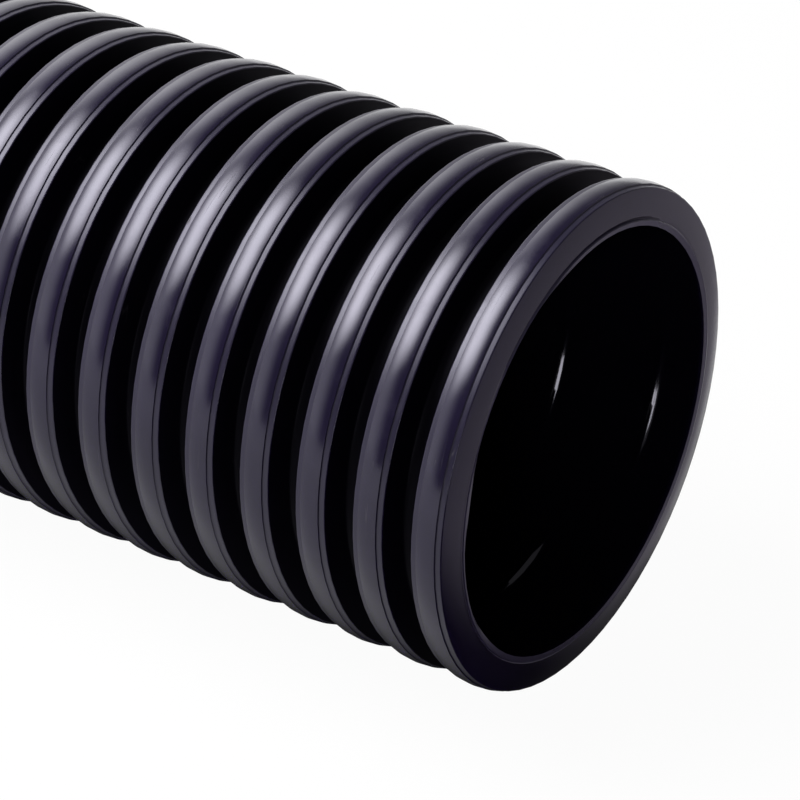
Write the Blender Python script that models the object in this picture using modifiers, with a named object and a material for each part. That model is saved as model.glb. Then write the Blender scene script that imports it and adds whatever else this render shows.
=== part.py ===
"""Corrugated drainage pipe, black polyethylene, 150 mm bore and 178 mm outside, a one metre length.

Metres, +Z up. The pipe lies along X with its middle over the origin and rests on Z = 0.
One turned solid: rounded ribs outside, a plain bore inside, sawn square in the valley at both ends.
"""

from math import cos, floor, pi, radians

import bmesh
import bpy

LENGTH = 1.000
BORE_DIAMETER = 0.150
WALL_THICKNESS = 0.0028  # outer skin and liner fused together, between two ribs
RIB_HEIGHT = 0.0112  # from the wall between the ribs to the middle of a crest
RIB_PITCH = 0.0224
CREST_WIDTH = 0.0124  # from shoulder to shoulder of one rib
CREST_ROUND = 0.0010  # how far the middle of a crest stands above its shoulders
FLANK_DRAFT = 0.0006  # how far a rib's foot reaches past its shoulder
LEAST_END_LAND = 0.0002  # plain wall that a cut leaves outside the last rib's foot

SEGMENTS = 24
SHARP_ANGLE = radians(40)
MERGE_DISTANCE = 0.00001

BORE_RADIUS = BORE_DIAMETER / 2
VALLEY_RADIUS = BORE_RADIUS + WALL_THICKNESS
CREST_RADIUS = VALLEY_RADIUS + RIB_HEIGHT

PIPE_COLOUR = (0.010, 0.009, 0.012, 1.0)
PIPE_ROUGHNESS = 0.32


def clear_scene():
    for old in list(bpy.data.objects):
        bpy.data.objects.remove(old, do_unlink=True)


def rib_centres():
    """Places along X, from +X down, of as many ribs as the length takes, spread about its middle."""
    foot_width = CREST_WIDTH + 2 * FLANK_DRAFT
    gaps = floor((LENGTH - foot_width - 2 * LEAST_END_LAND) / RIB_PITCH)
    return [(gaps / 2 - i) * RIB_PITCH for i in range(gaps + 1)]


def rib_outline(centre):
    """One rib as (x, radius), from the foot of its +X flank over the crest to the other foot."""
    half_crest = CREST_WIDTH / 2
    half_foot = half_crest + FLANK_DRAFT
    shoulder = CREST_RADIUS - CREST_ROUND
    return [
        (centre + half_foot, VALLEY_RADIUS),
        (centre + half_crest, shoulder),
        (centre, CREST_RADIUS),
        (centre - half_crest, shoulder),
        (centre - half_foot, VALLEY_RADIUS),
    ]


def pipe_outline():
    """The closed section of the wall as (x, radius): down X along the ribs, back along the bore."""
    end = LENGTH / 2
    outside = [(end, VALLEY_RADIUS)]
    for centre in rib_centres():
        outside += rib_outline(centre)
    outside.append((-end, VALLEY_RADIUS))
    return outside + [(-end, BORE_RADIUS), (end, BORE_RADIUS)]


def turned_mesh(name, outline):
    """Turns a closed (x, radius) outline once round X, its flats standing at the true radius."""
    to_corner = 1 / cos(pi / SEGMENTS)
    profile = bmesh.new()
    points = [profile.verts.new((x, 0, radius * to_corner)) for x, radius in outline]
    for start, stop in zip(points, points[1:] + points[:1]):
        profile.edges.new((start, stop))
    section = bpy.data.meshes.new(name + "_section")
    profile.to_mesh(section)
    profile.free()

    guide = bpy.data.objects.new(name + "_section", section)
    bpy.context.scene.collection.objects.link(guide)
    turn = guide.modifiers.new("Turn", "SCREW")
    turn.axis = "X"
    turn.angle = 2 * pi
    turn.steps = turn.render_steps = SEGMENTS
    turn.use_merge_vertices = True
    turn.merge_threshold = MERGE_DISTANCE
    graph = bpy.context.evaluated_depsgraph_get()
    mesh = bpy.data.meshes.new_from_object(guide.evaluated_get(graph))
    bpy.data.objects.remove(guide, do_unlink=True)
    bpy.data.meshes.remove(section)

    mesh.name = name
    mesh.shade_smooth()
    mesh.set_sharp_from_angle(angle=SHARP_ANGLE)
    return mesh


def black_plastic():
    material = bpy.data.materials.new("black_polyethylene")
    material.use_nodes = True
    shader = material.node_tree.nodes["Principled BSDF"]
    shader.inputs["Base Color"].default_value = PIPE_COLOUR
    shader.inputs["Roughness"].default_value = PIPE_ROUGHNESS
    shader.inputs["Metallic"].default_value = 0.0
    return material


def make_pipe(collection):
    """The pipe, turned half a step so that a flat of every rib lies on the ground."""
    pipe = bpy.data.objects.new("corrugated_pipe", turned_mesh("corrugated_pipe", pipe_outline()))
    pipe.data.materials.append(black_plastic())
    pipe.rotation_euler.x = pi / SEGMENTS
    pipe.location.z = CREST_RADIUS
    collection.objects.link(pipe)


def main():
    clear_scene()
    collection = bpy.data.collections.new("corrugated_drainage_pipe")
    bpy.context.scene.collection.children.link(collection)
    make_pipe(collection)


main()
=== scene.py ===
from math import cos, floor, pi, radians, sin

import bpy
from mathutils import Euler, Matrix, Vector


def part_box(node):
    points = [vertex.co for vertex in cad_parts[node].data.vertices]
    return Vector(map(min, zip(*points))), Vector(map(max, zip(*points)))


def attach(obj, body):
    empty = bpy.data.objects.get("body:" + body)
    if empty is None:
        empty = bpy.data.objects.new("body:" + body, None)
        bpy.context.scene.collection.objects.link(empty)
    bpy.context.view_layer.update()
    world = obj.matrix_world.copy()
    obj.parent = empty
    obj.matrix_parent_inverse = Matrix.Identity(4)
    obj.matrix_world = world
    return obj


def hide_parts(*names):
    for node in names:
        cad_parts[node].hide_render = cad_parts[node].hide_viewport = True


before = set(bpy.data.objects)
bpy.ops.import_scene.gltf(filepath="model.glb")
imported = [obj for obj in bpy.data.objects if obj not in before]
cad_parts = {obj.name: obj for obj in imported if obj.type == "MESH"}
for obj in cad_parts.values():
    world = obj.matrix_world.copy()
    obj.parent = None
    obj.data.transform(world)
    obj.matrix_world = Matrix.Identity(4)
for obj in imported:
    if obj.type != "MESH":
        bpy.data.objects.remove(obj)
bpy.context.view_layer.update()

lowCorner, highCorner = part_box("corrugated_pipe")
pipeLength = highCorner.x - lowCorner.x
crestRadius = (highCorner.z - lowCorner.z) / 2
axisHeight = (highCorner.z + lowCorner.z) / 2
endX = highCorner.x  # the end that the photograph shows
print("frame loaded, pipe", round(pipeLength, 3), "m long")


# Small helpers for node trees

def addNode(tree, kind, inputs=None, **settings):
    node = tree.nodes.new(kind)
    for name, value in settings.items():
        setattr(node, name, value)
    for name, value in (inputs or {}).items():
        if isinstance(value, bpy.types.NodeSocket):
            tree.links.new(value, node.inputs[name])
        else:
            node.inputs[name].default_value = value
    return node


def addMath(tree, operation, *values, clamp=False):
    slots = dict(enumerate(values))
    return addNode(tree, "ShaderNodeMath", slots, operation=operation, use_clamp=clamp).outputs[0]


def addVector(tree, x=0.0, y=0.0, z=0.0):
    return addNode(tree, "ShaderNodeCombineXYZ", {"X": x, "Y": y, "Z": z}).outputs[0]


def addVectorMath(tree, operation, *values):
    slots = dict(enumerate(values))
    return addNode(tree, "ShaderNodeVectorMath", slots, operation=operation).outputs[0]


def addScaled(tree, vector, scale):
    return addNode(tree, "ShaderNodeVectorMath", {0: vector, "Scale": scale}, operation="SCALE").outputs[0]


def addAxes(tree, vector):
    return addNode(tree, "ShaderNodeSeparateXYZ", {"Vector": vector}).outputs


def addRange(tree, value, low, high, lowValue, highValue):
    slots = {"Value": value, "From Min": low, "From Max": high, "To Min": lowValue, "To Max": highValue}
    return addNode(tree, "ShaderNodeMapRange", slots, interpolation_type="SMOOTHSTEP").outputs[0]


def addMix(tree, share, first, second):
    return addNode(tree, "ShaderNodeMix", {0: share, 2: first, 3: second}).outputs[0]


def addColourMix(tree, share, first, second):
    return addNode(tree, "ShaderNodeMix", {0: share, 6: first, 7: second}, data_type="RGBA").outputs[2]


def addNoise(tree, place, scale, detail, roughness=0.5):
    slots = {"Vector": place, "Scale": scale, "Detail": detail, "Roughness": roughness}
    return addNode(tree, "ShaderNodeTexNoise", slots).outputs[0]


def addSocket(tree, name, kind, value=None, out=False):
    socket = tree.interface.new_socket(name, in_out="OUTPUT" if out else "INPUT",
                                       socket_type="NodeSocket" + kind)
    if value is not None:
        socket.default_value = value
    return socket


def addMirrorShare(tree, rays):
    return addMath(tree, "MAXIMUM", rays.outputs["Is Glossy Ray"], rays.outputs["Is Transmission Ray"])


# Camera, at the photograph's angle

photoView = dict(
    lookDown=32.10,        # degrees below level
    turn=34.28,            # degrees round from facing +Y
    lens=148.1,
    sensor=36.0,
    rimAhead=1.0945,       # from the camera to the middle of the last rib's near shoulder
    rimRight=0.0627,
    rimBelow=0.01421,
    rimInset=0.0010,       # that shoulder stands this far in from the sawn end
    nearest=0.01,          # nothing closer than this is drawn
)


def makeCamera(view):
    data = bpy.data.cameras.new("photoCamera")
    data.lens = view["lens"]
    data.sensor_width = view["sensor"]
    data.clip_start = view["nearest"]
    camera = bpy.data.objects.new("photoCamera", data)
    camera.rotation_euler = Euler((radians(90 - view["lookDown"]), 0, radians(view["turn"])))
    rim = Vector((endX - view["rimInset"], 0, axisHeight))
    fromCamera = Vector((view["rimRight"], -view["rimBelow"], -view["rimAhead"]))
    camera.location = rim - camera.rotation_euler.to_matrix() @ fromCamera
    bpy.context.scene.collection.objects.link(camera)
    bpy.context.scene.camera = camera


makeCamera(photoView)


# Lights and surroundings

softbox = dict(
    towards=(-0.514, -0.288, 0.806),   # from the near ribs to the lamp
    along=(0.0, -0.946, -0.325),       # its long side, which keeps to the plane of a rib
    aim=(0.43, -0.05, 0.16),
    distance=1.9,
    length=2.30,
    width=1.86,
    softness=(0.74, 0.95),             # how much of each half fades out towards its edge
    radiance=10.5,
)
backLamp = dict(
    towards=(-0.80, 0.44, 0.41),
    along=(0.755, 0.40, 0.52),
    aim=(0.40, 0.0, 0.15),
    distance=1.9,
    length=2.7,
    width=1.7,
    softness=(0.9, 0.9),
    radiance=1.1,
)
sideLamp = dict(
    towards=(0.45, -0.88, 0.10),
    along=(0.0, 0.0, 1.0),
    aim=(0.45, 0.0, 0.09),
    distance=1.8,
    length=1.0,
    width=0.35,
    softness=(0.5, 0.5),
    radiance=6.5,
)
surroundings = dict(
    white=1.0,            # what the camera sees
    backdrop=1.35,        # what reflections see beyond the pipe's far end
    shade=0.18,           # what reflections see on the camera's side
    whiteFrom=0.68,       # how far a direction leans to the far end where it is white, and where it is shade
    shadeFrom=0.26,
    behind=(0.84, 0.97),  # and where it darkens again, straight along the pipe
    darkBehind=0.25,      # the share that is left there
    fill=0.08,            # what lights the surfaces
)


def makeLamp(name, settings):
    data = bpy.data.lights.new(name, "AREA")
    data.shape = "RECTANGLE"
    data.size = settings["length"]
    data.size_y = settings["width"]
    data.energy = settings["radiance"] * pi * settings["length"] * settings["width"]
    data.use_nodes = True
    tree = data.node_tree
    sheet = addAxes(tree, addNode(tree, "ShaderNodeNewGeometry").outputs["Parametric"])
    fade = 1.0
    for axis, softness in zip("XY", settings["softness"]):
        fromEdge = addMath(tree, "MINIMUM", sheet[axis], addMath(tree, "SUBTRACT", 1.0, sheet[axis]))
        fade = addMath(tree, "MULTIPLY", fade, addRange(tree, fromEdge, 0.0, softness / 2, 0.0, 1.0))
    tree.links.new(fade, tree.nodes["Emission"].inputs["Strength"])
    lamp = bpy.data.objects.new(name, data)
    lamp.visible_camera = False
    towards = Vector(settings["towards"]).normalized()
    across = towards.cross(Vector(settings["along"])).normalized()
    lamp.location = Vector(settings["aim"]) + towards * settings["distance"]
    lamp.rotation_euler = Matrix((across.cross(towards), across, towards)).transposed().to_euler()
    bpy.context.scene.collection.objects.link(lamp)


def makeWorld(settings):
    world = bpy.data.worlds.new("paleStudio")
    world.use_nodes = True
    tree = world.node_tree
    tree.nodes.clear()
    rays = addNode(tree, "ShaderNodeLightPath")
    towards = addNode(tree, "ShaderNodeTexCoord").outputs["Generated"]
    leaning = addMath(tree, "MULTIPLY", addAxes(tree, towards)["X"], -1.0)
    mirrored = addRange(tree, leaning, settings["shadeFrom"], settings["whiteFrom"],
                        settings["shade"], settings["backdrop"])
    left = addRange(tree, leaning, *settings["behind"], 1.0, settings["darkBehind"])
    mirrored = addMath(tree, "MULTIPLY", mirrored, left)
    strength = addMix(tree, addMirrorShare(tree, rays), settings["fill"], mirrored)
    strength = addMix(tree, rays.outputs["Is Camera Ray"], strength, settings["white"])
    white = addNode(tree, "ShaderNodeBackground", {"Color": (1, 1, 1, 1), "Strength": strength})
    addNode(tree, "ShaderNodeOutputWorld", {"Surface": white.outputs[0]})
    bpy.context.scene.world = world


makeLamp("softbox", softbox)
makeLamp("backLamp", backLamp)
makeLamp("sideLamp", sideLamp)
makeWorld(surroundings)
bpy.context.scene.view_settings.view_transform = "Standard"
print("camera and lights placed")


# The floor, with painted shadows and pools of light that only reflections see

floorLook = dict(
    size=8.0,
    colour=(0.60, 0.60, 0.60, 1),
    whitened=0.93,               # how far the camera sees it as plain white, the rest being its shading
    white=1.035,
    beside=(0.045, 0.115),       # painted shadow: reflections see it darken towards the pipe, between these distances
    shadowUnderPipe=0.05,            # the share of brightness that this painted shadow leaves under the pipe
    nearSide=(0.75, 1.0),        # how bright they see it on the -Y side, by the pipe and further off: painted shade by the pipe
    nearFrom=(0.10, 0.60),       # the distances between which that changes
    farSide=(0.55, 1.15),        # the same on the +Y side: painted shade by the pipe and a painted pool of light further off
    farFrom=(0.12, 0.25),
    ahead=(0.33, 0.36),          # and ahead of the sawn end, close to it and further off: a painted shadow of the pipe
    aheadFrom=(0.04, 0.19),
    aheadTint=(1.0, 0.93, 1.08, 1),
    aheadBlend=0.006,            # to each side of the sawn end
    aheadCorner=(0.008, 0.11),   # painted shadow: it darkens to the -Y side of a line that slants off from the pipe's foot
    cornerSlant=0.5,
    cornerShift=0.03,
    cornerShadowLeast=0.02,
)


def makeFloor(settings):
    half = settings["size"] / 2
    corners = [(-half, -half, 0), (half, -half, 0), (half, half, 0), (-half, half, 0)]
    mesh = bpy.data.meshes.new("paleFloor")
    mesh.from_pydata(corners, [], [(0, 1, 2, 3)])
    sheet = bpy.data.objects.new("paleFloor", mesh)
    bpy.context.scene.collection.objects.link(sheet)
    material = bpy.data.materials.new("paleFloor")
    material.use_nodes = True
    tree = material.node_tree
    tree.nodes.clear()
    shaded = addNode(tree, "ShaderNodeBsdfDiffuse", {"Color": settings["colour"]})
    axes = addAxes(tree, addNode(tree, "ShaderNodeTexCoord").outputs["Object"])

    # beside the pipe: painted shade near it and painted light further off
    aside = addMath(tree, "ABSOLUTE", axes["Y"])
    nearSide = addRange(tree, aside, *settings["nearFrom"], *settings["nearSide"])
    farSide = addRange(tree, aside, *settings["farFrom"], *settings["farSide"])
    paintedLightAndShade = addMix(tree, addMath(tree, "GREATER_THAN", axes["Y"], 0.0), nearSide, farSide)
    under = addRange(tree, aside, *settings["beside"], settings["shadowUnderPipe"], 1.0)
    paintedLightAndShade = addMath(tree, "MULTIPLY", paintedLightAndShade, under)

    # ahead of the sawn end: a painted shadow
    fromEnd = addMath(tree, "SUBTRACT", axes["X"], endX)
    ahead = addRange(tree, fromEnd, *settings["aheadFrom"], *settings["ahead"])
    slanted = addMath(tree, "MULTIPLY", fromEnd, settings["cornerSlant"])
    corner = addMath(tree, "ADD", slanted, addMath(tree, "ADD", axes["Y"], settings["cornerShift"]))
    paintedCornerShadow = addRange(tree, corner, *settings["aheadCorner"], settings["cornerShadowLeast"], 1.0)
    ahead = addMath(tree, "MULTIPLY", ahead, paintedCornerShadow)
    isAhead = addRange(tree, fromEnd, -settings["aheadBlend"], settings["aheadBlend"], 0.0, 1.0)
    paintedLightAndShade = addMix(tree, isAhead, paintedLightAndShade, ahead)
    tint = addColourMix(tree, isAhead, (1, 1, 1, 1), settings["aheadTint"])

    # what the surfaces, the camera and reflections each see; reflections see the painted shadows and light as
    # an emission
    mirrored = addNode(tree, "ShaderNodeEmission", {"Color": tint, "Strength": paintedLightAndShade})
    white = addNode(tree, "ShaderNodeEmission", {"Color": (1, 1, 1, 1), "Strength": settings["white"]})
    rays = addNode(tree, "ShaderNodeLightPath")
    share = addMath(tree, "MULTIPLY", rays.outputs["Is Camera Ray"], settings["whitened"])
    mixed = addNode(tree, "ShaderNodeMixShader", {0: share, 1: shaded.outputs[0], 2: white.outputs[0]})
    mixed = addNode(tree, "ShaderNodeMixShader",
                    {0: addMirrorShare(tree, rays), 1: mixed.outputs[0], 2: mirrored.outputs[0]})
    addNode(tree, "ShaderNodeOutputMaterial", {"Surface": mixed.outputs[0]})
    mesh.materials.append(material)


makeFloor(floorLook)


# Finishes, all in the part's own coordinates

def makeGroup(name, inputs, outputs):
    tree = bpy.data.node_groups.new(name, "ShaderNodeTree")
    for label, kind, value in inputs:
        addSocket(tree, label, kind, value)
    for label, kind in outputs:
        addSocket(tree, label, kind, out=True)
    return tree, addNode(tree, "NodeGroupInput").outputs


def groupNode(tree, group, inputs):
    return addNode(tree, "ShaderNodeGroup", inputs, node_tree=group).outputs


# The wall laid out flat: x along the pipe, then round it, then its radius
def makeUnrolled():
    tree, given = makeGroup("unrolledWall", [("Place", "Vector", None)],
                            [("Flat", "Vector"), ("Radius", "Float"), ("From End", "Float")])
    axes = addAxes(tree, given["Place"])
    up = addMath(tree, "SUBTRACT", axes["Z"], axisHeight)
    turn = addMath(tree, "ARCTAN2", addMath(tree, "MULTIPLY", axes["Y"], -1.0), up)
    squares = addMath(tree, "ADD", addMath(tree, "MULTIPLY", axes["Y"], axes["Y"]),
                      addMath(tree, "MULTIPLY", up, up))
    radius = addMath(tree, "SQRT", squares)
    fromEnd = addMath(tree, "SUBTRACT", pipeLength / 2, addMath(tree, "ABSOLUTE", axes["X"]))
    flat = addVector(tree, axes["X"], addMath(tree, "MULTIPLY", turn, crestRadius), radius)
    addNode(tree, "NodeGroupOutput", {"Flat": flat, "Radius": radius, "From End": fromEnd})
    return tree


# Moulded polyethylene: cloudy tone, flow lines round the wall and a fine pebbled grain
grainLook = dict(
    clouds=30.0,                  # how fine each noise is
    pebbles=1500.0,
    flow=420.0,
    flowDrawn=(1.0, 0.06, 1.0),   # drawn out round the wall
    toneRange=(0.32, 0.70),
    cloudGloss=0.6,
    flowGloss=0.9,
    pebbleHeight=0.35,
    flowHeight=0.65,
)


def makeGrain(settings):
    tree, given = makeGroup("mouldedGrain",
                            [("Flat", "Vector", None), ("Clouds", "Float", settings["clouds"]),
                             ("Pebbles", "Float", settings["pebbles"]), ("Flow", "Float", settings["flow"])],
                            [("Tone", "Float"), ("Gloss", "Float"), ("Height", "Float")])
    clouds = addNoise(tree, given["Flat"], given["Clouds"], 4.0, 0.6)
    drawn = addVectorMath(tree, "MULTIPLY", given["Flat"], settings["flowDrawn"])
    flow = addNoise(tree, drawn, given["Flow"], 3.0, 0.55)
    pebbles = addNoise(tree, given["Flat"], given["Pebbles"], 2.0)
    tone = addRange(tree, clouds, *settings["toneRange"], 0.0, 1.0)
    cloudy = addMath(tree, "MULTIPLY", addMath(tree, "SUBTRACT", clouds, 0.5), settings["cloudGloss"])
    flowing = addMath(tree, "MULTIPLY", addMath(tree, "SUBTRACT", flow, 0.5), settings["flowGloss"])
    height = addMath(tree, "ADD", addMath(tree, "MULTIPLY", pebbles, settings["pebbleHeight"]),
                     addMath(tree, "MULTIPLY", flow, settings["flowHeight"]))
    addNode(tree, "NodeGroupOutput",
            {"Tone": tone, "Gloss": addMath(tree, "ADD", cloudy, flowing), "Height": height})
    return tree


# Use: pale dust in patches, rubbed patches on what stands proud, and hairline scratches
wearLook = dict(
    patches=46.0,                          # how fine each noise is
    patchRange=(0.48, 0.74, 0.1, 1.0),     # from and to in the noise, then the dust there
    specks=900.0,
    speckRange=(0.50, 0.72, 0.15, 1.0),
    openDust=0.35,                         # the share that lies everywhere, and more where it is sheltered
    shelteredDust=0.65,
    rubs=95.0,
    rubRange=(0.52, 0.68),
    scratches=[(25.0, 34.0), (-52.0, 47.0), (80.0, 28.0)],   # (degrees turned, how fine their patches are)
    scratchDrawn=(1.0, 0.03, 0.3),
    scratchFiner=9,                        # times the patches
    scratchWidth=0.0032,
    scratchWhere=(0.58, 0.66),
)


def makeWear(settings):
    tree, given = makeGroup("handlingWear",
                            [("Flat", "Vector", None), ("Proud", "Float", 1.0), ("Sheltered", "Float", 0.0)],
                            [("Dust", "Float"), ("Rub", "Float"), ("Scratch", "Float")])
    patches = addNoise(tree, given["Flat"], settings["patches"], 6.0, 0.65)
    specks = addNoise(tree, given["Flat"], settings["specks"], 2.0, 0.6)
    dust = addMath(tree, "MULTIPLY", addRange(tree, patches, *settings["patchRange"]),
                   addRange(tree, specks, *settings["speckRange"]))
    settled = addMath(tree, "MULTIPLY", given["Sheltered"], settings["shelteredDust"])
    dust = addMath(tree, "MULTIPLY", dust, addMath(tree, "ADD", settings["openDust"], settled))
    rubs = addNoise(tree, given["Flat"], settings["rubs"], 5.0, 0.7)
    rub = addMath(tree, "MULTIPLY", addRange(tree, rubs, *settings["rubRange"], 0.0, 1.0), given["Proud"])
    scratch = 0.0
    for turned, size in settings["scratches"]:
        across = addNode(tree, "ShaderNodeMapping",
                         {"Vector": given["Flat"], "Rotation": (0, 0, radians(turned)),
                          "Scale": settings["scratchDrawn"]}).outputs[0]
        lines = addNoise(tree, across, size * settings["scratchFiner"], 1.0)
        away = addMath(tree, "ABSOLUTE", addMath(tree, "SUBTRACT", lines, 0.5))
        thin = addRange(tree, away, 0.0, settings["scratchWidth"], 1.0, 0.0)
        patch = addNoise(tree, given["Flat"], size, 3.0)
        where = addRange(tree, patch, *settings["scratchWhere"], 0.0, 1.0)
        scratch = addMath(tree, "MAXIMUM", scratch, addMath(tree, "MULTIPLY", thin, where))
    scratch = addMath(tree, "MULTIPLY", scratch, given["Proud"])
    addNode(tree, "NodeGroupOutput", {"Dust": dust, "Rub": rub, "Scratch": scratch})
    return tree


unrolled = makeUnrolled()
grain = makeGrain(grainLook)
wear = makeWear(wearLook)

shared = dict(                         # what all four finishes have in common
    plainWear=0.3,                     # how proud and how sheltered the surfaces without ribs count
    domeEdge=(0.00075, 0.00040),       # depths below the crest, where each mask starts and where it is full
    ledgeEdge=(0.0013, 0.0011),
    ribEdge=(0.0080, 0.0018),
    faceEdge=(0.0010, 0.0017),         # in from an end, where the face's colour, on the skin a painted light, is full and where it is gone
    # how much of the deep colour lies below the ribs; on the skin and in the valleys it is painted shade
    deepShare=0.75,
    rubShare=0.45,
    scratchShare=0.35,
    rubRough=0.05,                     # added by wear
    scratchRough=0.12,
    paleRough=0.5,
    scratchDepth=0.8,                  # against the grain's height
    bumpStrength=0.5,
    specularTint=(0.885, 0.865, 1.0, 1),
    nickDepth=(0.0008, 0.0022),        # the nicks' middle below the crest, and how deep they reach
    nickRagged=1.6,
    nickEdge=(0.35, 0.62),
    nickPale=0.5,
    teethDrawn=(0.2, 1.0, 0.25),       # the saw's marks, drawn out along the pipe and across the wall
    teethScale=1300.0,
    teethDepth=1.4,
)
skinLook = dict(
    name="corrugatedSkin",
    outside=True,
    colour=(0.0042, 0.0014, 0.0180, 1),
    clouded=(0.0062, 0.0024, 0.0230, 1),
    deep=(0.0012, 0.0008, 0.0030, 1),      # painted shade down the flanks and in the valleys
    face=(0.0090, 0.0055, 0.0210, 1),      # painted light on the sawn end's face: the same plastic, coloured lighter and bluer there
    rubbed=(0.013, 0.009, 0.030, 1),
    dusty=(0.105, 0.096, 0.100, 1),
    dustShare=0.025,
    gloss=0.165,
    unevenness=0.16,
    ledgeRough=0.18,       # added on the ledges beside the raised dome
    valleyRough=0.02,      # added down the flanks
    relief=0.00003,
    ior=1.6,
    nicks=[                # (from the pipe's middle, degrees from the top towards -Y, along, round, how pale)
        (0.3757, 37.2, 0.0009, 0.0030, 1.0),
        (0.1120, 33.0, 0.0006, 0.0042, 0.7),
        (0.0630, 52.0, 0.0022, 0.0006, 0.6),
        (0.2430, 61.0, 0.0007, 0.0024, 0.5),
    ],
)
shadedValleyLook = dict(         # the matt walls and floors between the ribs, coloured darker than the skin as painted shade, with a low IOR that dims their reflections
    name="mattValley",
    outside=False,
    colour=(0.0016, 0.0010, 0.0042, 1),
    clouded=(0.0026, 0.0018, 0.0060, 1),
    deep=(0.0012, 0.0008, 0.0030, 1),
    face=(0.0012, 0.0008, 0.0030, 1),
    rubbed=(0.005, 0.004, 0.008, 1),
    dusty=(0.085, 0.080, 0.082, 1),
    dustShare=0.02,
    gloss=0.42,
    unevenness=0.25,
    ledgeRough=0.0,
    valleyRough=0.0,
    relief=0.00004,
    ior=1.15,
    nicks=[],
)
linerLook = dict(
    name="glossyLiner",
    outside=False,
    colour=(0.0030, 0.0022, 0.0060, 1),
    clouded=(0.0045, 0.0034, 0.0085, 1),
    deep=(0.0022, 0.0018, 0.0045, 1),
    face=(0.0060, 0.0040, 0.0160, 1),
    rubbed=(0.008, 0.007, 0.012, 1),
    dusty=(0.080, 0.075, 0.076, 1),
    dustShare=0.02,
    gloss=0.115,
    unevenness=0.10,
    ledgeRough=0.0,
    valleyRough=0.0,
    relief=0.00002,
    ior=1.6,
    nicks=[],
)
sawnLook = dict(
    name="sawnEdge",
    outside=False,
    colour=(0.012, 0.009, 0.022, 1),
    clouded=(0.018, 0.014, 0.030, 1),
    deep=(0.018, 0.013, 0.034, 1),
    face=(0.024, 0.017, 0.052, 1),
    rubbed=(0.036, 0.031, 0.050, 1),
    dusty=(0.12, 0.115, 0.12, 1),
    dustShare=0.10,
    gloss=0.30,
    unevenness=0.30,
    ledgeRough=0.0,
    valleyRough=0.0,
    relief=0.00006,
    ior=1.6,
    nicks=[],
)


def makeFinish(look, sawMarks=False):
    material = bpy.data.materials.new(look["name"])
    material.use_nodes = True
    tree = material.node_tree
    shader = tree.nodes["Principled BSDF"]
    wall = groupNode(tree, unrolled, {"Place": addNode(tree, "ShaderNodeTexCoord").outputs["Object"]})

    # a mask of the height between two depths below the crest
    def above(depths):
        return addRange(tree, wall["Radius"], crestRadius - depths[0], crestRadius - depths[1], 0.0, 1.0)

    onLedge = addMath(tree, "MULTIPLY", addMath(tree, "SUBTRACT", 1.0, above(shared["domeEdge"])),
                      above(shared["ledgeEdge"]))
    onRib = above(shared["ribEdge"])
    low = addMath(tree, "SUBTRACT", 1.0, onRib)
    surface = groupNode(tree, grain, {"Flat": wall["Flat"]})
    proud, sheltered = (onRib, low) if look["outside"] else (shared["plainWear"], shared["plainWear"])
    used = groupNode(tree, wear, {"Flat": wall["Flat"], "Proud": proud, "Sheltered": sheltered})

    # pale marks: dust, and the nicks with their ragged edges
    pale = addMath(tree, "MULTIPLY", used["Dust"], look["dustShare"])
    middleDepth, depthSize = shared["nickDepth"]
    for x, turn, alongSize, roundSize, paleness in look["nicks"]:
        centre = (x, radians(turn) * crestRadius, crestRadius - middleDepth)
        away = addVectorMath(tree, "SUBTRACT", wall["Flat"], centre)
        away = addVectorMath(tree, "MULTIPLY", away, (1 / alongSize, 1 / roundSize, 1 / depthSize))
        length = addNode(tree, "ShaderNodeVectorMath", {0: away}, operation="LENGTH").outputs["Value"]
        ragged = addMath(tree, "MULTIPLY", addMath(tree, "SUBTRACT", surface["Height"], 0.5),
                         shared["nickRagged"])
        length = addMath(tree, "ADD", ragged, length)
        nick = addRange(tree, length, *shared["nickEdge"], paleness * shared["nickPale"], 0.0)
        pale = addMath(tree, "MAXIMUM", pale, nick)

    # colour, from the plastic outwards; on the skin and in the valleys the deep colour is painted shade, and
    # on the skin the face colour is painted light
    colour = addColourMix(tree, surface["Tone"], look["colour"], look["clouded"])
    atFace = addRange(tree, wall["From End"], *shared["faceEdge"], 1.0, 0.0)
    for share, over in ((addMath(tree, "MULTIPLY", low, shared["deepShare"]), look["deep"]),
                        (atFace, look["face"]),
                        (addMath(tree, "MULTIPLY", used["Rub"], shared["rubShare"]), look["rubbed"]),
                        (addMath(tree, "MULTIPLY", used["Scratch"], shared["scratchShare"]), look["dusty"]),
                        (pale, look["dusty"])):
        colour = addColourMix(tree, share, colour, over)
    tree.links.new(colour, shader.inputs["Base Color"])

    # roughness
    rough = look["gloss"]
    for mask, amount in ((surface["Gloss"], look["unevenness"]), (onLedge, look["ledgeRough"]),
                         (low, look["valleyRough"]), (used["Rub"], shared["rubRough"]),
                         (used["Scratch"], shared["scratchRough"])):
        rough = addMath(tree, "ADD", rough, addMath(tree, "MULTIPLY", mask, amount))
    rough = addMath(tree, "ADD", rough, addMath(tree, "MULTIPLY", pale, shared["paleRough"]), clamp=True)
    tree.links.new(rough, shader.inputs["Roughness"])

    # fine relief
    scored = addMath(tree, "MULTIPLY", used["Scratch"], shared["scratchDepth"])
    height = addMath(tree, "SUBTRACT", surface["Height"], scored)
    if sawMarks:
        teeth = addVectorMath(tree, "MULTIPLY", wall["Flat"], shared["teethDrawn"])
        teeth = addNoise(tree, teeth, shared["teethScale"], 3.0, 0.7)
        height = addMath(tree, "ADD", height, addMath(tree, "MULTIPLY", teeth, shared["teethDepth"]))
    bump = addNode(tree, "ShaderNodeBump", {"Strength": shared["bumpStrength"], "Distance": look["relief"],
                                            "Height": height})
    tree.links.new(bump.outputs[0], shader.inputs["Normal"])
    shader.inputs["IOR"].default_value = look["ior"]
    shader.inputs["Specular Tint"].default_value = shared["specularTint"]
    return material


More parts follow.
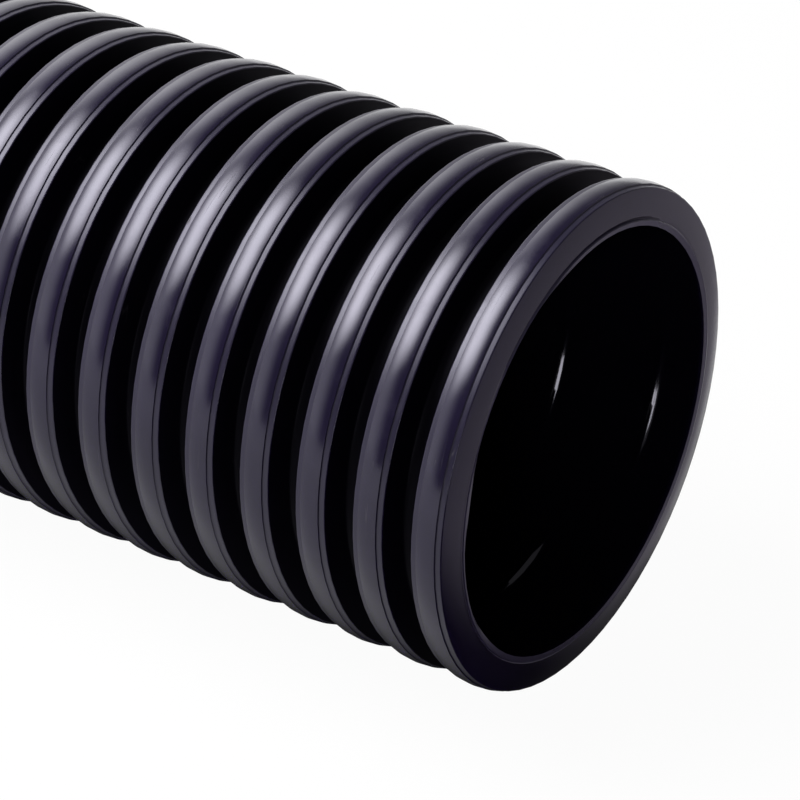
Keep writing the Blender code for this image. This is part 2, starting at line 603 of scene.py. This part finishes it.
skinFinish = makeFinish(skinLook)
shadedValleyFinish = makeFinish(shadedValleyLook)
linerFinish = makeFinish(linerLook)
sawnFinish = makeFinish(sawnLook, sawMarks=True)
print("finishes made")


# The corrugated pipe

pipe = dict(
    ribPitch=0.0224,
    ribHeight=0.0112,
    wall=0.0028,          # skin and liner fused together in a valley
    crestWidth=0.0114,
    flankDraft=0.0011,
    domeLine=[            # (from the rib's middle, below the crest), a raised dome and the ledge beside it
        (0.0, 0.0), (0.0017, 0.000092), (0.0028, 0.00025), (0.00345, 0.000385), (0.00358, 0.00080),
        (0.00370, 0.00088), (0.0039, 0.000895), (0.0046, 0.000944), (0.0052, 0.000992),
    ],
    ledgeFrom=0.00370,    # from the rib's middle
    ledgeTurn=2.4,        # degrees, how far the near ledge leans down more and the far one less
    ledgeEnd=(0.00542, 0.001016),
    ledgeSlope=11,        # degrees, where the ledge turns over into the flank
    flankTurn=5,          # degrees, where that round ends at the flank
    footRound=0.0008,
    footArc=(265, 189),   # degrees, from the valley's floor round to the flank
    firstRing=0.0045,     # the bore's rings start this far in from an end
    rippleWidth=0.0010,
    rippleReach=2.2,      # close rings reach this many widths from a ripple's middle, and stand at
    rippleRings=(-1, -0.59, -0.32, 0, 0.32, 0.59, 1),   # these shares of that
    rippleClear=1.3,      # times that reach, where the even rings are left out
    ripples=[             # (from the near end, degrees from the top towards -Y, half spread, height)
        (0.0165, -109, 17, 0.00084),
        (0.0552, -110, 17, 0.00084),
        (0.0350, -169, 13, 0.0012),
        (0.9780, 95, 9, 0.0006),
        (0.9450, 140, 8, 0.0005),
    ],
    lipLine=[             # (in from an end, above the bore), from the groove at the rib's foot inwards
        (0.0012, 0.0026), (0.0003, 0.0023), (0.0, 0.0020), (0.0, 0.0012), (0.0001, 0.00015), (0.0024, 0.0),
    ],
    lipTop=0.0024,        # above the bore, where the lip ends and the groove starts
    lipBack=0.0009,       # in from an end, where the lip's own rings end
    groove=0.0012,        # the groove's depth at the top of the pipe, and round the rest of it
    grooveElsewhere=0.0002,
    grooveSpread=40,
    grooveTop=0.0004,     # above the valley's floor, where the groove ends
    grooveBack=0.0014,    # in from an end, where the foot's own rings end
    dropHeight=0.0022,    # above the bore, where the drops of its edge begin
    lipDrops=[            # (degrees from the top towards -Y, half spread, the bore edge's drop, how late)
        (-22, 40, 0.0006, 1),
        (44, 26, 0.0014, 1),
        (104, 17, 0.0016, 3),
    ],
    sides=76,
    seamTurn=37.5,        # the mould's parting line, degrees from the top towards -Y, and opposite
    seamWidth=0.0004,
    seamHeight=0.00005,
    cutWander=0.00012,
    wanderScale=12.0,
    sharpTurn=46,         # degrees, edges that turn by more stay sharp
    sharpLip=24,          # and by this much less on the sawn wall, and on the foot beside it
    sharpFoot=43,
    sharpBack=0.0025,     # in from an end, how far that goes
    sharpTop=0.0012,      # above the valley's floor
    linerTop=0.0003,      # below the valley's floor, what lies further in is liner or sawn edge
    sawnBack=0.00105,     # in from an end, how far the sawn edge goes
    skinBack=0.0016,      # and how far the last rib's foot keeps the skin's finish
    valleyTop=0.0018,     # below the crest, where the matt walls of a valley end
    insideOrder=100000.0,   # the numbers of the inside's points start here, past those of the ribs
)


def arcPoints(centreX, centreR, radius, start, stop, steps):
    turns = [radians(start + (stop - start) * i / steps) for i in range(steps + 1)]
    return [(centreX + radius * cos(a), centreR + radius * sin(a)) for a in turns]


# One rib as (x, radius) about its middle, from the foot on the +X side to the other foot
def ribOutline(settings):
    valley = crestRadius - settings["ribHeight"]
    halfCrest = settings["crestWidth"] / 2
    halfFoot = halfCrest + settings["flankDraft"]
    footRound = settings["footRound"]
    half = arcPoints(halfFoot + footRound, valley + footRound, footRound, *settings["footArc"], 1)
    ledgeX, ledgeDrop = settings["ledgeEnd"]
    slope = radians(settings["ledgeSlope"])
    shoulder = (halfCrest - ledgeX) / (cos(radians(settings["flankTurn"])) - sin(slope))
    half += arcPoints(ledgeX - shoulder * sin(slope), crestRadius - ledgeDrop - shoulder * cos(slope),
                      shoulder, settings["flankTurn"], 90 - settings["ledgeSlope"], 2)
    half += [(x, crestRadius - drop) for x, drop in reversed(settings["domeLine"])]
    whole = half + [(-x, radius) for x, radius in reversed(half[:-1])]
    lean = radians(settings["ledgeTurn"])
    inner, outer = settings["ledgeFrom"], halfCrest
    return [(x, radius - lean * min(max(abs(x) - inner, 0), outer - inner) * (1 if x > 0 else -1))
            for x, radius in whole]


# The inside as (x, radius) from the far lip along the bore to the near lip, with close rings at each ripple
def insideOutline(settings, boreRadius, ribs):
    half = pipeLength / 2
    reach = half - settings["firstRing"]
    places = [(2 * i / ribs - 1) * reach for i in range(ribs + 1)]
    close = settings["rippleWidth"] * settings["rippleReach"]
    for ripple in settings["ripples"]:
        middle = half - ripple[0]
        places = [x for x in places if abs(x - middle) > close * settings["rippleClear"]]
        places += [middle + close * share for share in settings["rippleRings"]]
    farLip = [(inset - half, boreRadius + height) for inset, height in settings["lipLine"]]
    nearLip = [(-x, radius) for x, radius in reversed(farLip)]
    return farLip + [(x, boreRadius) for x in sorted(places)] + nearLip


def outlineObject(name, points):
    mesh = bpy.data.meshes.new(name)
    mesh.from_pydata([(x, radius, 0) for x, radius in points],
                     [(i, i + 1) for i in range(len(points) - 1)], [])
    outline = bpy.data.objects.new(name, mesh)
    bpy.context.scene.collection.objects.link(outline)
    return outline


def makePipeTree(settings):
    tree = bpy.data.node_groups.new("corrugatedPipe", "GeometryNodeTree")
    addSocket(tree, "Rib Outline", "Geometry")
    addSocket(tree, "Inside Outline", "Object")
    for name in ("Ribs", "Sides"):
        addSocket(tree, name, "Int")
    for name in ("Rib Pitch", "Half Length", "Bore Radius", "Valley Radius", "Ripple Width", "Seam Turn",
                 "Seam Width", "Seam Height", "Groove", "Groove Elsewhere", "Groove Spread", "Cut Wander",
                 "Shoulder Radius", "Axis Height"):
        addSocket(tree, name, "Float")
    for name in ("Skin", "Valley", "Liner", "Sawn Edge"):
        addSocket(tree, name, "Material")
    addSocket(tree, "Pipe", "Geometry", out=True)
    given = addNode(tree, "NodeGroupInput").outputs

    def math(operation, *values, clamp=False):
        return addMath(tree, operation, *values, clamp=clamp)

    def numbered(geometry, offset):
        place = math("ADD", addNode(tree, "GeometryNodeInputIndex").outputs[0], offset)
        return addNode(tree, "GeometryNodeStoreNamedAttribute",
                       {"Geometry": geometry, "Name": "order", "Value": place},
                       data_type="FLOAT", domain="POINT").outputs[0]

    def placed(geometry, **inputs):
        return addNode(tree, "GeometryNodeSetPosition", {"Geometry": geometry, **inputs}).outputs[0]

    # the ribs, from the near end down the pipe
    gaps = math("SUBTRACT", given["Ribs"], 1.0)
    firstRib = math("MULTIPLY", math("MULTIPLY", gaps, given["Rib Pitch"]), 0.5)
    step = math("MULTIPLY", given["Rib Pitch"], -1.0)
    ribPlaces = addNode(tree, "GeometryNodeMeshLine",
                        {"Count": given["Ribs"], "Start Location": addVector(tree, firstRib),
                         "Offset": addVector(tree, step)}, mode="OFFSET")
    ribs = addNode(tree, "GeometryNodeInstanceOnPoints",
                   {"Points": ribPlaces.outputs[0], "Instance": given["Rib Outline"]})
    ribs = addNode(tree, "GeometryNodeRealizeInstances", {"Geometry": ribs.outputs[0]})

    # the section's one closed line: ribs, then far lip, bore and near lip
    inside = addNode(tree, "GeometryNodeObjectInfo", {"Object": given["Inside Outline"]})
    join = addNode(tree, "GeometryNodeJoinGeometry")
    for piece, offset in ((ribs.outputs[0], 0.0), (inside.outputs["Geometry"], settings["insideOrder"])):
        tree.links.new(numbered(piece, offset), join.inputs[0])
    points = addNode(tree, "GeometryNodeMeshToPoints", {"Mesh": join.outputs[0]})
    order = addNode(tree, "GeometryNodeInputNamedAttribute", {"Name": "order"}, data_type="FLOAT")
    section = addNode(tree, "GeometryNodePointsToCurves",
                      {"Points": points.outputs[0], "Weight": order.outputs[0]})
    section = addNode(tree, "GeometryNodeSetSplineCyclic", {"Geometry": section.outputs[0], "Cyclic": True})
    section = addNode(tree, "GeometryNodeTransform", {
        "Geometry": section.outputs[0],
        "Translation": addVector(tree, math("MULTIPLY", given["Bore Radius"], -1.0)),
        "Rotation": (0, 0, radians(-90))})

    # the ring it is turned along, with five close points at each parting line
    perHalf = math("DIVIDE", given["Sides"], 2.0)
    index = addNode(tree, "GeometryNodeInputIndex").outputs[0]
    half = math("FLOOR", math("DIVIDE", math("ADD", index, 0.5), perHalf))
    within = math("SUBTRACT", index, math("MULTIPLY", half, perHalf))
    seamAngle = math("DIVIDE", given["Seam Width"], given["Valley Radius"])
    wide = math("SUBTRACT", perHalf, 4.0)
    stride = math("DIVIDE", math("SUBTRACT", pi, math("MULTIPLY", seamAngle, 4.0)), wide)
    strides = math("MINIMUM", math("MAXIMUM", math("SUBTRACT", within, 2.0), 0.0), wide)
    angle = math("ADD", math("MULTIPLY", stride, strides),
                 math("MULTIPLY", seamAngle, math("SUBTRACT", within, strides)))
    angle = math("ADD", angle, math("MULTIPLY", half, pi))
    angle = math("ADD", angle, math("ADD", given["Seam Turn"], pi))
    outward = addVector(tree, math("COSINE", angle), math("SINE", angle))
    onRing = addScaled(tree, outward, given["Bore Radius"])
    ring = addNode(tree, "GeometryNodeCurvePrimitiveCircle", {"Resolution": given["Sides"]}, mode="RADIUS")
    ring = placed(ring.outputs[0], Position=onRing)
    ring = addNode(tree, "GeometryNodeSetCurveNormal", {"Curve": ring, "Normal": outward}, mode="FREE")
    ring = addNode(tree, "GeometryNodeStoreNamedAttribute",
                   {"Geometry": ring.outputs[0], "Name": "seam", "Value": math("LESS_THAN", within, 0.5)},
                   data_type="FLOAT", domain="POINT")
    turned = addNode(tree, "GeometryNodeCurveToMesh",
                     {"Curve": ring.outputs[0], "Profile Curve": section.outputs[0]})
    lift = addVector(tree, 0.0, 0.0, given["Axis Height"])
    laid = addNode(tree, "GeometryNodeTransform",
                   {"Geometry": turned.outputs[0], "Translation": lift,
                    "Rotation": (0, radians(90), 0)}).outputs[0]

    # the raised parting line on the outside
    isInside = math("GREATER_THAN", order.outputs[0], settings["insideOrder"] - 1)
    isOutside = math("SUBTRACT", 1.0, isInside)
    seam = addNode(tree, "GeometryNodeInputNamedAttribute", {"Name": "seam"}, data_type="FLOAT")
    normal = addNode(tree, "GeometryNodeInputNormal")
    raised = addScaled(tree, normal.outputs[0], given["Seam Height"])
    laid = placed(laid, Selection=math("MULTIPLY", math("GREATER_THAN", seam.outputs[0], 0.5), isOutside),
                  Offset=raised)

    # where a point is: round the pipe, out from its axis, and in from the nearer end
    position = addNode(tree, "GeometryNodeInputPosition").outputs[0]
    place = addVectorMath(tree, "SUBTRACT", position, lift)
    axes = addAxes(tree, place)
    turn = math("ARCTAN2", math("MULTIPLY", axes["Y"], -1.0), axes["Z"])
    radius = math("SQRT", math("ADD", math("MULTIPLY", axes["Y"], axes["Y"]),
                               math("MULTIPLY", axes["Z"], axes["Z"])))
    endSide = math("SIGN", axes["X"])
    fromEnd = math("SUBTRACT", given["Half Length"], math("ABSOLUTE", axes["X"]))

    def aboveBore(distance):
        return math("ADD", given["Bore Radius"], distance)

    def aboveValley(distance):
        return math("ADD", given["Valley Radius"], distance)

    def swell(middle, spread, power=4.0):
        away = math("ABSOLUTE", math("DIVIDE", math("SUBTRACT", turn, middle), spread))
        return math("EXPONENT", math("MULTIPLY", math("POWER", away, power), -1.0))

    # ripples in the liner
    inward = addVectorMath(tree, "NORMALIZE", addVector(tree, 0.0, axes["Y"], axes["Z"]))
    amount = 0.0
    for inset, middle, spread, height in settings["ripples"]:
        rippleX = math("SUBTRACT", given["Half Length"], inset)
        away = math("DIVIDE", math("SUBTRACT", axes["X"], rippleX), given["Ripple Width"])
        along = math("EXPONENT", math("MULTIPLY", math("MULTIPLY", away, away), -1.0))
        bulge = math("MULTIPLY", along, swell(radians(middle), radians(spread)))
        amount = math("ADD", amount, math("MULTIPLY", bulge, -height))
    laid = placed(laid, Selection=math("GREATER_THAN", isInside, 0.5), Offset=addScaled(tree, inward, amount))

    # the cut: a groove left at the last ribs' feet, and a lip that wanders from square
    grooveDepth = math("ADD", given["Groove Elsewhere"],
                       math("MULTIPLY", swell(0.0, given["Groove Spread"], 2.0),
                            math("SUBTRACT", given["Groove"], given["Groove Elsewhere"])))
    footside = math("MULTIPLY", math("GREATER_THAN", radius, aboveBore(settings["lipTop"])),
                    math("LESS_THAN", radius, aboveValley(settings["grooveTop"])))
    footside = math("MULTIPLY", footside, math("LESS_THAN", fromEnd, settings["grooveBack"]))
    grooveX = math("MULTIPLY", endSide, math("SUBTRACT", given["Half Length"], grooveDepth))
    grooved = addVector(tree, grooveX, axes["Y"], math("ADD", axes["Z"], given["Axis Height"]))
    laid = placed(laid, Selection=math("GREATER_THAN", footside, 0.5), Position=grooved)
    rise = math("DIVIDE", math("SUBTRACT", radius, given["Bore Radius"]), settings["dropHeight"])
    inner = math("SUBTRACT", 1.0, rise, clamp=True)
    back = math("MULTIPLY", addNoise(tree, place, settings["wanderScale"], 1.0), given["Cut Wander"])
    for middle, spread, drop, late in settings["lipDrops"]:
        dropped = math("MULTIPLY", math("POWER", inner, late), swell(radians(middle), radians(spread)))
        back = math("ADD", back, math("MULTIPLY", dropped, drop))
    isLip = math("MULTIPLY", isInside, math("LESS_THAN", fromEnd, settings["lipBack"]))
    isLip = math("MULTIPLY", isLip, math("LESS_THAN", radius, aboveBore(settings["lipTop"])))
    inwards = addVector(tree, math("MULTIPLY", math("MULTIPLY", endSide, back), -1.0))
    laid = placed(laid, Selection=math("GREATER_THAN", isLip, 0.5), Offset=inwards)

    # smooth shading, with sharp edges at the cut
    laid = addNode(tree, "GeometryNodeSetShadeSmooth", {"Geometry": laid, "Shade Smooth": True}).outputs[0]
    corner = addNode(tree, "GeometryNodeInputMeshEdgeAngle").outputs[0]
    atCut = math("LESS_THAN", fromEnd, settings["sharpBack"])
    onWall = math("LESS_THAN", radius, given["Valley Radius"])
    onFoot = math("MULTIPLY", math("SUBTRACT", 1.0, onWall),
                  math("LESS_THAN", radius, aboveValley(settings["sharpTop"])))
    sharper = math("ADD", math("MULTIPLY", onWall, radians(settings["sharpLip"])),
                   math("MULTIPLY", onFoot, radians(settings["sharpFoot"])))
    sharpFrom = math("SUBTRACT", radians(settings["sharpTurn"]), math("MULTIPLY", atCut, sharper))
    isSharp = math("GREATER_THAN", corner, sharpFrom)
    laid = addNode(tree, "GeometryNodeSetShadeSmooth",
                   {"Geometry": laid, "Selection": isSharp, "Shade Smooth": False}, domain="EDGE").outputs[0]
    for name in ("order", "seam"):
        laid = addNode(tree, "GeometryNodeRemoveAttribute", {"Geometry": laid, "Name": name}).outputs[0]
    laid = addNode(tree, "GeometryNodeRealizeInstances", {"Geometry": laid}).outputs[0]

    # finishes, each over the one before it
    inWall = math("LESS_THAN", radius, math("SUBTRACT", given["Valley Radius"], settings["linerTop"]))
    atLip = math("MULTIPLY", inWall, math("LESS_THAN", fromEnd, settings["sawnBack"]))
    between = math("MULTIPLY", math("LESS_THAN", radius, given["Shoulder Radius"]),
                   math("GREATER_THAN", fromEnd, settings["skinBack"]))
    for name, faces in (("Skin", True), ("Valley", math("GREATER_THAN", between, 0.5)),
                        ("Liner", math("GREATER_THAN", inWall, 0.5)),
                        ("Sawn Edge", math("GREATER_THAN", atLip, 0.5))):
        laid = addNode(tree, "GeometryNodeSetMaterial",
                       {"Geometry": laid, "Selection": faces, "Material": given[name]}).outputs[0]
    addNode(tree, "NodeGroupOutput", {"Pipe": laid})
    return tree


def makePipe(settings):
    valley = crestRadius - settings["ribHeight"]
    boreRadius = valley - settings["wall"]
    footWidth = settings["crestWidth"] + 2 * settings["flankDraft"]
    ribs = 1 + floor((pipeLength - footWidth) / settings["ribPitch"])
    body = outlineObject("corrugatedPipe", ribOutline(settings))
    inside = outlineObject("insideOutline", insideOutline(settings, boreRadius, ribs))
    tree = makePipeTree(settings)
    modifier = body.modifiers.new("corrugatedPipe", "NODES")
    modifier.node_group = tree
    values = {
        "Inside Outline": inside,
        "Ribs": ribs,
        "Sides": settings["sides"],
        "Rib Pitch": settings["ribPitch"],
        "Half Length": pipeLength / 2,
        "Bore Radius": boreRadius,
        "Valley Radius": valley,
        "Ripple Width": settings["rippleWidth"],
        "Seam Turn": radians(settings["seamTurn"]),
        "Seam Width": settings["seamWidth"],
        "Seam Height": settings["seamHeight"],
        "Groove": settings["groove"],
        "Groove Elsewhere": settings["grooveElsewhere"],
        "Groove Spread": radians(settings["grooveSpread"]),
        "Cut Wander": settings["cutWander"],
        "Shoulder Radius": crestRadius - settings["valleyTop"],
        "Axis Height": axisHeight,
        "Skin": skinFinish,
        "Valley": shadedValleyFinish,
        "Liner": linerFinish,
        "Sawn Edge": sawnFinish,
    }
    for item in tree.interface.items_tree:
        if item.in_out == "INPUT" and item.name in values:
            modifier[item.identifier] = values[item.name]
    graph = bpy.context.evaluated_depsgraph_get()
    mesh = bpy.data.meshes.new_from_object(body.evaluated_get(graph))
    body.modifiers.clear()
    body.data = mesh
    bpy.data.objects.remove(inside)
    print("pipe turned,", ribs, "ribs,", len(mesh.polygons), "faces")
    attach(body, "root")
    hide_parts("corrugated_pipe")


makePipe(pipe)
